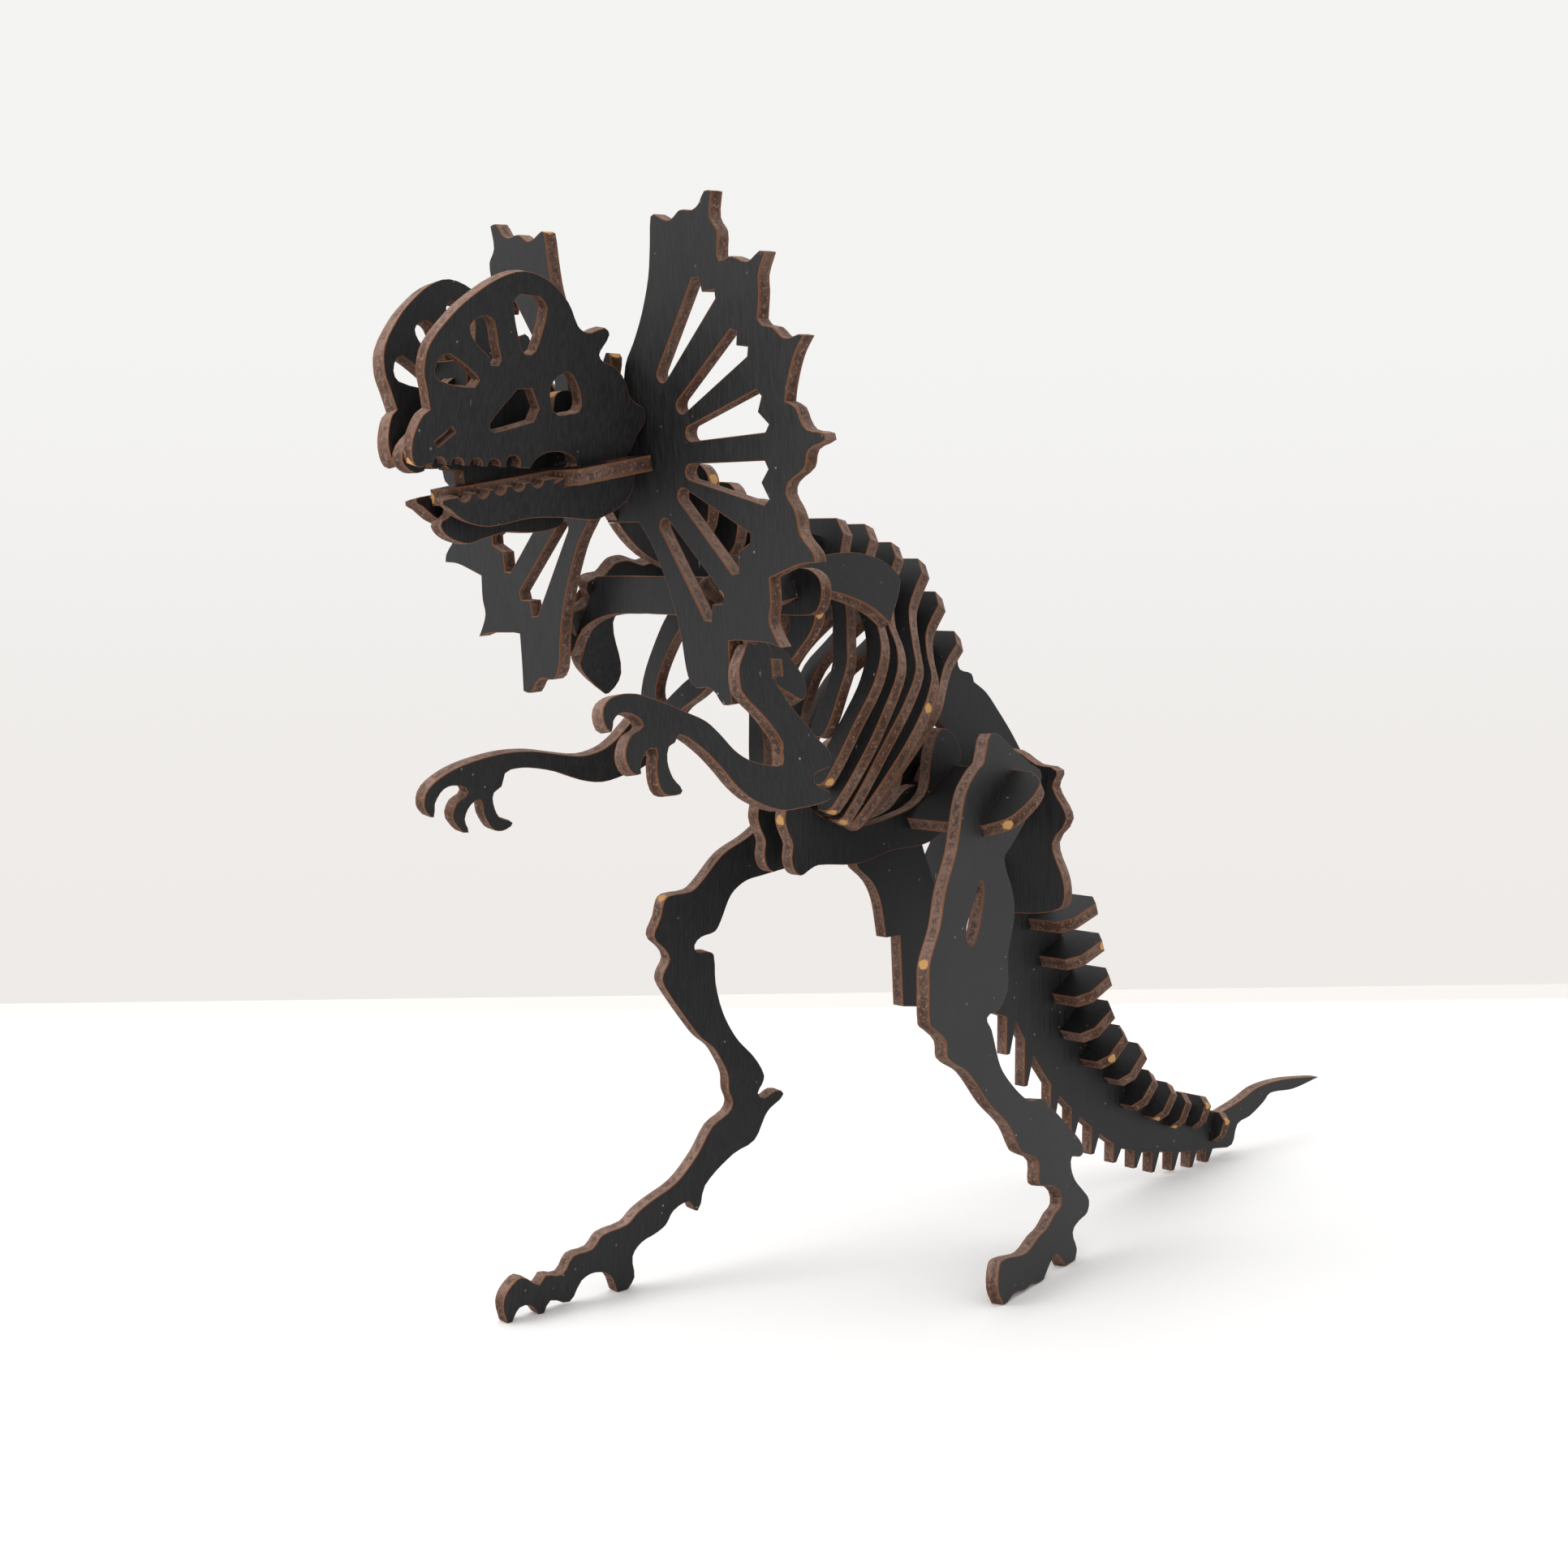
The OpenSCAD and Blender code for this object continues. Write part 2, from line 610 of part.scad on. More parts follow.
arm_right_edge = [
  [-51.5, 128.5], [-53.7, 126], [-56, 123.8], [-58.3, 121.7], [-61.9, 119.7], [-67.4, 118.7],
  [-74.2, 119.5], [-81.5, 120.6], [-88.5, 120.7], [-95.3, 119.8], [-101.9, 118.1],
  [-106.7, 115.6], [-108.6, 113.4], [-108.7, 110.8], [-107.7, 109.3], [-106, 108.4], [-106, 111.2],
  [-104, 114.1], [-100.7, 114.6], [-97.8, 113], [-100.4, 111], [-101.3, 108.6], [-100.9, 107.2],
  [-98.1, 104.5], [-96.7, 104.4], [-98, 107.4], [-96.7, 110.3], [-94.5, 111.2], [-93.6, 109.6],
  [-93.1, 107.9], [-90.6, 104.7], [-88.8, 104], [-86.8, 104.2], [-85.2, 105.5], [-88.9, 107],
  [-90.9, 110.3], [-90.9, 112.4], [-89, 113.6], [-88.4, 116.3], [-87, 117], [-82.3, 117.1],
  [-75, 115.8], [-67.4, 113.4], [-61, 112.5], [-54.8, 113.6], [-48.2, 115.6], [-45.8, 119.5],
  [-45.5, 124], [-46.5, 128], [-49, 129.5]
];

module arm_right()
  color(black)
    difference()
    {
      mirror([0, 1, 0])
        arm_plane() polygon(smooth(arm_right_edge));
      across(-52.5, 0, 0, fit) rect(20, 60, peg_low - fit, peg_top + fit);
    }

// ---------- ribs ----------

module rib(i)
{
  r = ribs[i];
  outer = r[3];
  n = len(outer);
  last = outer[n - 1];
  color(black)
    across(r[0], r[1], r[2])
      difference()
      {
        polygon(smooth(whole(concat(
            [
              [0, 4, 1], [block_w - 2.6, 4, 1], [block_w, 0.6, 1], [block_w - 0.3, -5]
            ],
            [for (p = outer) [p[0], -p[1]]],
            [[last[0] - band_w * 0.55, -last[1] - 0.9]],
            [for (j = [n - 1 : -1 : 1]) [outer[j][0] - band_w, -outer[j][1]]],
            [[max(outer[0][0] - band_w - 1, 2.4), -outer[0][1] - 1.5], [0, -9.2, 1]]
          ))));
        rect(-t / 2 - fit, t / 2 + fit, -60, rib_levels);
      }
}

module rib_1() rib(0);
module rib_2() rib(1);
module rib_3() rib(2);
module rib_4() rib(3);
module rib_5() rib(4);
module rib_6() rib(5);

// ---------- hip ----------

// Slab of the hip board from w0 to w1 along its slope, grown by the clearance
module hip_board_slab(w0, w1, y0 = -60, y1 = 60)
  translate([x_mid + 1, 0, 107.5])
    rotate([0, -32, 0])
      translate([w0 - fit, y0, -t / 2 - fit])
        cube([w1 - w0 + 2 * fit, y1 - y0, t + 2 * fit]);

module hip_cross_front()
  color(black)
    translate([x_mid + 1, 0, 107.5])
      rotate([0, -32, 0])
        translate([0, 0, -t / 2])
          linear_extrude(t)
            difference()
            {
              rotate(90)
                polygon(smooth(whole([
                  [0, hip_board_w / 2, 1], [hip_board_l / 2 - 6, hip_board_w / 2, 1],
                  [hip_board_l / 2 - 1.6, hip_board_w / 2 - 3], [hip_board_l / 2, 3],
                  [hip_board_l / 2, -3], [hip_board_l / 2 - 1.6, 3 - hip_board_w / 2],
                  [hip_board_l / 2 - 6, -hip_board_w / 2, 1], [0, -hip_board_w / 2, 1]
                ])));
              rect(-20, -5, -t / 2 - fit, t / 2 + fit);
              rect(5, 20, -t / 2 - fit, t / 2 + fit);
              for (s = [-1, 1]) translate([0, s * belly_y])
                rect(-20, 0, -t / 2 - fit, t / 2 + fit);
            }

belly_edge = moved([
  [-49.8, 109, 1], [-50.3, 106], [-49.3, 103.4], [-47.9, 100.7], [-48.3, 98.2], [-47.6, 95.6],
  [-45.4, 94], [-42.4, 95.1], [-39.9, 95.7], [-27.2, 94.8], [-16.7, 96.6], [-3, 97.5],
  [3.6, 102], [6.9, 108], [7.2, 113], [6.6, 118.6], [2.3, 122.4], [-1, 121.7], [-3.4, 116],
  [-4.5, 109.4], [-8.6, 106.1], [-16.7, 104.1], [-24.6, 103], [-29.8, 103.1], [-34.9, 104.4],
  [-40, 106.5], [-44.9, 109.8, 1]
], [3.5, 0]);

module belly_side()
  difference()
  {
    along(-belly_y) polygon(smooth(belly_edge));
    hip_board_slab(0, 14);
  }

module belly_left()
  color(black)
    belly_side();

module belly_right()
  color(black)
    mirror([0, 1, 0])
      belly_side();

module pubis()
  color(black)
    difference()
    {
      along()
        polygon(smooth([
          [-22, 98], [-19.4, 92.9, 1], [-14.8, 89.4], [-12.1, 85], [-10.1, 76.5, 1],
          [-5.3, 76.5, 1], [-4.2, 60.1, 1], [5.6, 58.6, 1], [7.4, 68], [7.6, 78], [6.2, 87], [2.8, 94.5], [0.6, 101], [1.6, 106],
          [1.2, 109.6], [-4, 109], [-9, 105.4], [-15, 103.6], [-20, 102.4]
        ]));
      hip_board_slab(-5, 14);
    }

module hip_cross_rear()
  color(black)
    across(30)
      difference()
      {
        polygon(smooth(whole([
            [0, 116.4, 1], [7.2, 116.2], [13, 113.4], [19, 112.3], [17.9, 108.5], [21.9, 101.4],
            [18, 95.5], [21.2, 87.3], [21.2, 81.7], [17, 79.5], [9, 78.4], [0, 78, 1]
          ])));
        rect(-t / 2 - fit, t / 2 + fit, 105, 130);
        rect(-t / 2 - fit, t / 2 + fit, 60, 85);
      }

// ---------- hind legs ----------

leg_left_edge = [
  [14.9, 122.9], [10.6, 117], [7.3, 115.5], [1.1, 110.9], [-4.6, 99.4], [-10.7, 91.4],
  [-13.8, 84.8], [-19.4, 77.6], [-20.3, 72.8], [-21, 65.4], [-19, 64], [-14.5, 60.7],
  [-14.2, 57.2], [-5.7, 52.5], [3, 44.1], [11.9, 37.3], [16.3, 31.1], [18.9, 29.6],
  [25.1, 26.4], [24.8, 21.5], [30.5, 19.8], [34.9, 17.2], [35.3, 14.3], [31.7, 13],
  [27.1, 10.8], [22.8, 10], [16.3, 8.1], [6.5, 9.4], [3.3, 8.9], [1.8, 3.9], [3.9, 0, 1],
  [6, 0, 1], [8.5, 0.8], [11.3, 0.9], [15.2, 0.3], [18.2, 0.8], [21.4, 0, 1], [24, 0, 1],
  [29.5, 3.7], [32.5, 3.3], [35.4, 0, 1], [40.7, 0, 1], [42, 2.3], [40.4, 6.5], [44.2, 8.3], [48.8, 9.1], [50.1, 11.7],
  [47.3, 14.6], [43.3, 18], [41.6, 21.3], [42.3, 23.6], [46.5, 22.7], [48.6, 23.4],
  [47.2, 26.4], [42, 30.4], [35.5, 35.4], [28.2, 40], [22.9, 40.6], [18.3, 43], [13.6, 46.6],
  [10.1, 50], [8.5, 52.9], [6.3, 59.5], [4.6, 62.4], [9.8, 63], [15.2, 66.9], [16.1, 73.9],
  [20.5, 82.3], [20.4, 87.6], [17.4, 95.2], [20.6, 97.5], [29.4, 102.9], [38.6, 111.6],
  [33.2, 114.9], [25.5, 118.6]
];
leg_right_edge = [
  [62.7, 99.5], [54.7, 95.8], [48.7, 90.2], [46, 88.4], [39.7, 88], [38.2, 86.7], [37.5, 83.4],
  [35.9, 79.3], [39.1, 76.2], [40.6, 73.8], [39.1, 70.9], [39, 68.8], [40.6, 66.4],
  [43.1, 63.3], [47.4, 58.3], [50.9, 54.6], [54.7, 51.8], [57.1, 48.8], [59.6, 44.6],
  [60.1, 40.9], [61.5, 37.8], [60.4, 35.7], [55.7, 33.3], [51.7, 27.6], [45.8, 22.1],
  [38.9, 19.3], [34.9, 17.4], [32, 15.2], [25.2, 14.2], [22.4, 11.6], [17.2, 11.1],
  [14.5, 7.7], [9.9, 8.4], [8.4, 6.7], [3.6, 9.4], [0.1, 7.2], [-1, 4.2], [0.2, 0, 1],
  [1.6, 0, 1], [3.4, 2.7], [6.3, 2.5], [8.6, 0, 1], [10, 0, 1], [11.6, 2.4], [16.8, 0.9], [19.9, 5], [23.6, 6],
  [27.8, 4.3], [30, 0, 1], [33, 0, 1], [34.8, 2.4], [34, 7.4], [36.4, 10.1], [40.3, 11.3],
  [43.3, 12.8], [45.3, 15.6], [49.7, 16.8], [52.5, 14.1], [54.4, 19.7], [62.6, 25.6],
  [68.9, 27.7], [71.9, 33], [73.3, 34.5], [77.4, 37.3], [74.8, 38.5], [71.3, 37.3],
  [69.2, 38.8], [70.3, 40.6], [70.9, 42.8], [67.6, 47.5], [61.7, 53], [57.1, 59.7],
  [54.5, 66.7], [53.6, 73.1], [52.1, 74.1], [48.5, 74.5], [47.7, 76.1], [49.5, 77.7],
  [53.5, 78.5], [55, 80.5], [57.1, 85.3], [58.7, 87.3], [62.2, 89.2], [66.8, 89.9],
  [78, 91.5], [88, 94], [97, 97], [105, 101.5], [112, 107], [114.6, 112], [111, 116.5],
  [103, 120], [94, 121.5], [86, 118.5], [79, 112.5], [71, 105.5]
];

// Top of the feet stays on the floor when the leg leans
module leg_left()
  color(black)
    difference()
    {
      translate([x_mid - 13.5, -36.1, t * sin(leg_lean)])
        rotate([0, 0, near_toe])
          rotate([-leg_lean, 0, 0])
            translate([0, t, 0])
              rotate([90, 0, 0])
                linear_extrude(t)
                  difference()
                  {
                    polygon(smooth(leg_left_edge));
                    polygon(smooth([
                      [5.5, 92], [1.8, 87.8], [-2.2, 83], [-2.6, 80.2], [-0.3, 78.6], [2.8, 81],
                      [5, 84.8], [6.9, 90]
                    ]));
                  }
      hip_board_slab(-hip_board_w / 2, hip_board_w / 2);
    }

module leg_right()
  color(black)
    difference()
    {
      translate([x_mid - 91.5, 33, 0])
        rotate([0, 0, -far_toe])
          rotate([leg_lean, 0, 0])
            translate([0, t, 0])
              rotate([90, 0, 0])
                linear_extrude(t)
                  polygon(smooth(leg_right_edge));
      hip_board_slab(-hip_board_w / 2, hip_board_w / 2);
    }

// ---------- tail ----------

function low_z(x) = lookup(x, tail_low);

module tail()
  color(black)
    difference()
    {
      along()
        polygon(smooth(concat(
          [[25.5, 54.8, 1]],
          [
            for (p = prongs)
              each [
                [p[0], low_z(p[0]), 1], [p[0], p[1], 1], [p[0] + 1.3, p[1], 1],
                [p[0] + 3.4, low_z(p[0] + 3.4), 1]
              ]
          ],
          [
            [125.1, 2.8], [132.2, 2.5], [134.8, 7.6], [140.9, 8.8], [147.7, 11.5], [151, 13.4],
            [163, 12.6], [176.7, 13.7, 1], [170.9, 14.6], [157.1, 16.2], [144.7, 16.1],
            [136.6, 14.1], [130, 12.9], [124.8, 12.4], [118, 15.2], [110, 18.4], [101, 21.4],
            [92, 25.6], [83, 30.6], [76, 37], [70, 41.6], [64, 48.5], [61.4, 56], [57.6, 64],
            [54, 71], [50, 79], [44, 85], [40, 89], [34, 92], [28, 92], [24, 88], [23, 78],
            [24, 65]
          ]
        )));
      across(30, 0, 0, fit) rect(-20, 20, 85, 110);
      for (d = discs) across(d[0], d[1], d[2], fit) rect(-20, 20, -1.6, 12);
    }

module tail_disc(i)
{
  n = len(discs) - 1;
  w = disc_w + (disc_end_w - disc_w) * i / n;
  h = 14 - 6 * i / n;
  c = 3 - i / n;
  color(black)
    across(discs[i][0], discs[i][1], discs[i][2])
      difference()
      {
        polygon([
          [-w + c, h / 2], [-w, h / 2 - c], [-w + 0.8, -h / 2 + c], [-w + c + 0.8, -h / 2],
          [w - c - 0.8, -h / 2], [w - 0.8, -h / 2 + c], [w, h / 2 - c], [w - c, h / 2]
        ]);
        rect(-t / 2 - fit, t / 2 + fit, -20, -1.6);
      }
}

module tail_disc_1() tail_disc(0);
module tail_disc_2() tail_disc(1);
module tail_disc_3() tail_disc(2);
module tail_disc_4() tail_disc(3);
module tail_disc_5() tail_disc(4);
module tail_disc_6() tail_disc(5);
module tail_disc_7() tail_disc(6);
module tail_disc_8() tail_disc(7);
module tail_disc_9() tail_disc(8);
module tail_disc_10() tail_disc(9);
module tail_disc_11() tail_disc(10);

skull_left();
skull_right();
head_core();
crest_bar();
occiput();
jaw_deck();
jaw_left();
jaw_right();
jaw_centre();
frill_left();
frill_right();
spine();
neck_disc_1();
neck_disc_2();
neck_disc_3();
neck_disc_4();
shoulder_cross();
arm_cross();
chest_hoop();
scapula_left();
scapula_right();
arm_left();
arm_right();
rib_1();
rib_2();
rib_3();
rib_4();
rib_5();
rib_6();
belly_left();
belly_right();
pubis();
hip_cross_front();
hip_cross_rear();
leg_left();
leg_right();
tail();
tail_disc_1();
tail_disc_2();
tail_disc_3();
tail_disc_4();
tail_disc_5();
tail_disc_6();
tail_disc_7();
tail_disc_8();
tail_disc_9();
tail_disc_10();
tail_disc_11();
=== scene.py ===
import math

import bpy
import numpy as np
from mathutils import Euler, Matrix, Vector


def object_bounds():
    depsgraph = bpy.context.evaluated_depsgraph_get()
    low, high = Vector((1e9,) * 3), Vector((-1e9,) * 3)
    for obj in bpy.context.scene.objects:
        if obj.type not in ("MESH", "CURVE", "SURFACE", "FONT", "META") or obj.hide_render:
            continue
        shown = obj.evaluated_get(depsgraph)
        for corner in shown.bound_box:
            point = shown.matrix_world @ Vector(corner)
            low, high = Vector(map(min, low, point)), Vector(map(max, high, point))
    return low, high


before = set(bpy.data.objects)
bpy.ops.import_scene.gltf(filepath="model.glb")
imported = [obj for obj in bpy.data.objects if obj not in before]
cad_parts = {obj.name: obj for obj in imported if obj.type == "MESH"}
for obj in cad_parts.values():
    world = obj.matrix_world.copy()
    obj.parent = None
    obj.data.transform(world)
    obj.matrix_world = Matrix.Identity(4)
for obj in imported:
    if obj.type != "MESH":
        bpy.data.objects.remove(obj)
startBounds = [list(map(float, c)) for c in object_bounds()]
mm = 0.001


def addNode(tree, kind, **settings):
    node = tree.nodes.new(kind)
    for name, value in settings.items():
        setattr(node, name, value)
    return node


def feed(tree, socket, value):
    if isinstance(value, bpy.types.NodeSocket):
        tree.links.new(value, socket)
    elif socket.type == "RGBA":
        socket.default_value = (*value, 1.0)
    else:
        socket.default_value = value


def mathNode(tree, operation, a, b=None, clamp=False):
    node = addNode(tree, "ShaderNodeMath", operation=operation, use_clamp=clamp)
    feed(tree, node.inputs[0], a)
    if b is not None:
        feed(tree, node.inputs[1], b)
    return node.outputs[0]


def product(tree, a, b):
    return mathNode(tree, "MULTIPLY", a, b)


def mapRange(tree, value, limits, results=(0.0, 1.0)):
    node = addNode(tree, "ShaderNodeMapRange", interpolation_type="SMOOTHSTEP")
    tree.links.new(value, node.inputs["Value"])
    names = ("From Min", "From Max", "To Min", "To Max")
    for name, number in zip(names, (*limits, *results)):
        node.inputs[name].default_value = number
    return node.outputs["Result"]


def mixColor(tree, factor, a, b):
    node = addNode(tree, "ShaderNodeMix", data_type="RGBA")
    # Of the node's many sockets, 0 is the factor and 6 and 7 are the colours
    for index, value in ((0, factor), (6, a), (7, b)):
        feed(tree, node.inputs[index], value)
    return node.outputs[2]


def noise(tree, vector, scale, detail=3.0, rough=0.55, distortion=0.0):
    node = addNode(tree, "ShaderNodeTexNoise")
    node.inputs["Scale"].default_value = scale
    node.inputs["Detail"].default_value = detail
    node.inputs["Roughness"].default_value = rough
    node.inputs["Distortion"].default_value = distortion
    tree.links.new(vector, node.inputs["Vector"])
    return node.outputs["Fac"]


def stretched(tree, vector, scale):
    node = addNode(tree, "ShaderNodeMapping")
    node.inputs["Scale"].default_value = scale
    tree.links.new(vector, node.inputs["Vector"])
    return node.outputs["Vector"]


def addBump(tree, shader, height, strength, distance):
    bump = addNode(tree, "ShaderNodeBump")
    bump.inputs["Strength"].default_value = strength
    bump.inputs["Distance"].default_value = distance
    tree.links.new(height, bump.inputs["Height"])
    tree.links.new(bump.outputs[0], shader.inputs["Normal"])


def newGroup(name, inputs, outputs):
    group = bpy.data.node_groups.new(name, "ShaderNodeTree")
    for socketName, kind in inputs:
        group.interface.new_socket(socketName, in_out="INPUT", socket_type=kind)
    for socketName, kind in outputs:
        group.interface.new_socket(socketName, in_out="OUTPUT", socket_type=kind)
    return group, addNode(group, "NodeGroupInput"), addNode(group, "NodeGroupOutput")


def placeGroup(tree, group, **values):
    node = addNode(tree, "ShaderNodeGroup", node_tree=group)
    for name, value in values.items():
        feed(tree, node.inputs[name], value)
    return node


def newMaterial(name):
    material = bpy.data.materials.new(name)
    material.use_nodes = True
    tree = material.node_tree
    tree.nodes.clear()
    shader = addNode(tree, "ShaderNodeBsdfPrincipled")
    output = addNode(tree, "ShaderNodeOutputMaterial")
    tree.links.new(shader.outputs[0], output.inputs[0])
    coords = addNode(tree, "ShaderNodeTexCoord").outputs["Object"]
    return material, tree, shader, coords


# Pressed fibres, seen on every cut rim as dark mottle and pale flecks
fibre = {
    "blotchScale": 520.0,
    "blotchShare": 0.64,
    "fineScale": 2300.0,
    "mottle": (0.38, 0.62),
    "fleckScale": 1400.0,
    "flecks": (0.56, 0.68),
}


def makeFibreGroup():
    group, start, end = newGroup(
        "pressedFibres",
        [("Vector", "NodeSocketVector")],
        [("Mottle", "NodeSocketFloat"), ("Flecks", "NodeSocketFloat")],
    )
    vector = start.outputs["Vector"]
    scale = fibre["blotchScale"]
    blotch = noise(group, vector, scale, detail=4.0, rough=0.64, distortion=0.7)
    fine = noise(group, vector, fibre["fineScale"], rough=0.62)
    share = fibre["blotchShare"]
    blend = mathNode(group, "ADD", product(group, blotch, share), product(group, fine, 1 - share))
    group.links.new(mapRange(group, blend, fibre["mottle"]), end.inputs["Mottle"])
    flecks = noise(group, vector, fibre["fleckScale"], detail=2.0, rough=0.5)
    group.links.new(mapRange(group, flecks, fibre["flecks"]), end.inputs["Flecks"])
    return group


# Dust and hairline scratches: each kind has its stretch, cell scale, spot radius and the
# part of the cells that stays empty
dust = {
    "kinds": (
        ((1.0, 1.0, 1.0), 300.0, 0.1, 0.45),
        ((1.0, 1.0, 0.2), 260.0, 0.07, 0.6),
    ),
    "softness": 0.4,
    "faintest": 0.25,
}


def makeDustGroup():
    group, start, end = newGroup(
        "faceDust",
        [("Vector", "NodeSocketVector"), ("Amount", "NodeSocketFloat")],
        [("Dust", "NodeSocketFloat")],
    )

    def specks(stretch, scale, radius, empty):
        cells = addNode(group, "ShaderNodeTexVoronoi")
        cells.inputs["Scale"].default_value = scale
        vector = stretched(group, start.outputs["Vector"], stretch)
        group.links.new(vector, cells.inputs["Vector"])
        limits = (radius * dust["softness"], radius)
        spot = mapRange(group, cells.outputs["Distance"], limits, (1.0, 0.0))
        tint = addNode(group, "ShaderNodeSeparateColor")
        group.links.new(cells.outputs["Color"], tint.inputs[0])
        chosen = mathNode(group, "GREATER_THAN", tint.outputs[0], empty)
        strength = mapRange(group, tint.outputs[1], (0.0, 1.0), (dust["faintest"], 1.0))
        return product(group, product(group, spot, chosen), strength)

    both = mathNode(group, "MAXIMUM", *(specks(*kind) for kind in dust["kinds"]))
    group.links.new(product(group, both, start.outputs["Amount"]), end.inputs["Dust"])
    return group


fibreGroup = makeFibreGroup()
dustGroup = makeDustGroup()

# Matte black paint with a fine upright grain
paint = {
    "base": (0.0066, 0.0066, 0.0074),
    "light": (0.0235, 0.0225, 0.0245),
    "dust": (0.36, 0.35, 0.33),
    "dustAmount": 0.7,
    "roughness": 0.55,
    "roughSpread": 0.08,
    "roughGrain": (0.2, 0.8),
    "specular": 0.24,
    "grainStretch": (2400.0, 2400.0, 170.0),
    "grain": (0.3, 0.7),
    "grainAmount": 0.75,
    "cloudScale": 38.0,
    "cloud": (0.35, 0.7),
    "cloudAmount": 0.25,
    "bump": (0.4, 0.05 * mm),
}


def makePaint():
    material, tree, shader, coords = newMaterial("blackFace")
    grain = noise(tree, stretched(tree, coords, paint["grainStretch"]), 1.0, rough=0.6)
    cloud = noise(tree, coords, paint["cloudScale"], rough=0.5)
    streaks = product(tree, mapRange(tree, grain, paint["grain"]), paint["grainAmount"])
    body = mixColor(tree, streaks, paint["base"], paint["light"])
    clouds = mapRange(tree, cloud, paint["cloud"], (0.0, paint["cloudAmount"]))
    body = mixColor(tree, clouds, body, paint["light"])
    specks = placeGroup(tree, dustGroup, Vector=coords, Amount=paint["dustAmount"])
    body = mixColor(tree, specks.outputs["Dust"], body, paint["dust"])
    tree.links.new(body, shader.inputs["Base Color"])
    extremes = [paint["roughness"] + side * paint["roughSpread"] for side in (-1, 1)]
    roughness = mapRange(tree, grain, paint["roughGrain"], extremes)
    tree.links.new(roughness, shader.inputs["Roughness"])
    addBump(tree, shader, grain, *paint["bump"])
    shader.inputs["Specular IOR Level"].default_value = paint["specular"]
    return material


# Bridge nick: a short stretch of rim that was snapped by hand, so it is bare and golden
nick = {
    "color": (0.50, 0.27, 0.10),
    "fade": (1.35 * mm, 1.7 * mm),
    "raggedScale": 900.0,
    "ragged": 0.9 * mm,
    "seed": 11,
}


def nickMask(tree, coords):
    place = addNode(tree, "ShaderNodeAttribute", attribute_name="nickPlace").outputs["Vector"]
    reach = addNode(tree, "ShaderNodeVectorMath", operation="DISTANCE")
    tree.links.new(coords, reach.inputs[0])
    tree.links.new(place, reach.inputs[1])
    rough = noise(tree, coords, nick["raggedScale"], detail=2.0)
    ragged = product(tree, rough, nick["ragged"])
    distance = mathNode(tree, "ADD", reach.outputs["Value"], ragged)
    return mapRange(tree, distance, nick["fade"], (1.0, 0.0))


# Laser-cut rim: sooty fibre, brown in the middle and scorched orange along both borders
cutRim = {
    "base": (0.090, 0.043, 0.027),
    "char": (0.011, 0.007, 0.006),
    "pale": (0.33, 0.222, 0.180),
    "scorch": (0.185, 0.070, 0.026),
    "charAmount": 0.66,
    "charMiddle": (0.25, 0.9),
    "charAtBorder": 0.2,
    # painted highlight: how far up a rim must face before it is painted paler, and how much
    "paintedTopLight": (-0.2, 0.9),
    "paintedTopLightAmount": 0.55,
    "cloudScale": 60.0,
    "cloud": (0.35, 0.65),
    "cloudAmount": 0.3,
    "fleckAmount": 0.4,
    "border": (0.70, 0.90),
    "borderAmount": 0.85,
    "roughness": 0.74,
    "specular": 0.15,
    "bump": (0.5, 0.12 * mm),
}


def makeRim():
    material, tree, shader, coords = newMaterial("cutFibreboard")
    depth = addNode(tree, "ShaderNodeAttribute", attribute_name="sheetDepth").outputs["Fac"]
    border = mathNode(tree, "ABSOLUTE", depth)
    fibres = placeGroup(tree, fibreGroup, Vector=coords)
    middle = mapRange(tree, border, cutRim["charMiddle"], (1.0, cutRim["charAtBorder"]))
    dark = product(tree, fibres.outputs["Mottle"], middle)
    # Painted highlight: rims that face up are painted paler, standing in for the light that falls
    # on them from above
    facing = addNode(tree, "ShaderNodeSeparateXYZ")
    tree.links.new(addNode(tree, "ShaderNodeNewGeometry").outputs["Normal"], facing.inputs[0])
    paintedTopLightRange = (0.0, cutRim["paintedTopLightAmount"])
    paintedTopLight = mapRange(tree, facing.outputs["Z"], cutRim["paintedTopLight"], paintedTopLightRange)
    clouds = noise(tree, coords, cutRim["cloudScale"], detail=2.0)
    clouds = mapRange(tree, clouds, cutRim["cloud"], (0.0, cutRim["cloudAmount"]))
    # painted top highlight added to random paler clouds in the fibre
    paintedTopLightAndClouds = mathNode(tree, "ADD", paintedTopLight, clouds, clamp=True)
    flecks = product(tree, fibres.outputs["Flecks"], cutRim["fleckAmount"])
    edgeLine = product(tree, mapRange(tree, border, cutRim["border"]), cutRim["borderAmount"])
    body = mixColor(tree, paintedTopLightAndClouds, cutRim["base"], cutRim["pale"])
    body = mixColor(tree, product(tree, dark, cutRim["charAmount"]), body, cutRim["char"])
    body = mixColor(tree, flecks, body, cutRim["pale"])
    body = mixColor(tree, edgeLine, body, cutRim["scorch"])
    body = mixColor(tree, nickMask(tree, coords), body, nick["color"])
    tree.links.new(body, shader.inputs["Base Color"])
    shader.inputs["Roughness"].default_value = cutRim["roughness"]
    shader.inputs["Specular IOR Level"].default_value = cutRim["specular"]
    addBump(tree, shader, fibres.outputs["Mottle"], *cutRim["bump"])
    return material


paintMaterial = makePaint()
rimMaterial = makeRim()
print("materials ready")

# How a plate's mesh is read and softened
plateEdge = {
    "bevel": 0.14 * mm,
    "bevelSteps": 2,
    "bevelAngle": 40.0,
    "smoothAngle": 32.0,  # rim facets meeting flatter than this shade as one curve
    "merge": 0.002 * mm,
    "flatCosine": 0.985,  # facets turned less than this from the sheet's normal are painted
    "sameCosine": 0.998,  # facets this close to the sheet's normal set it
    "signWay": (0.937, 0.311, 0.163),  # lies in no plate, so it tells a face from its opposite
}


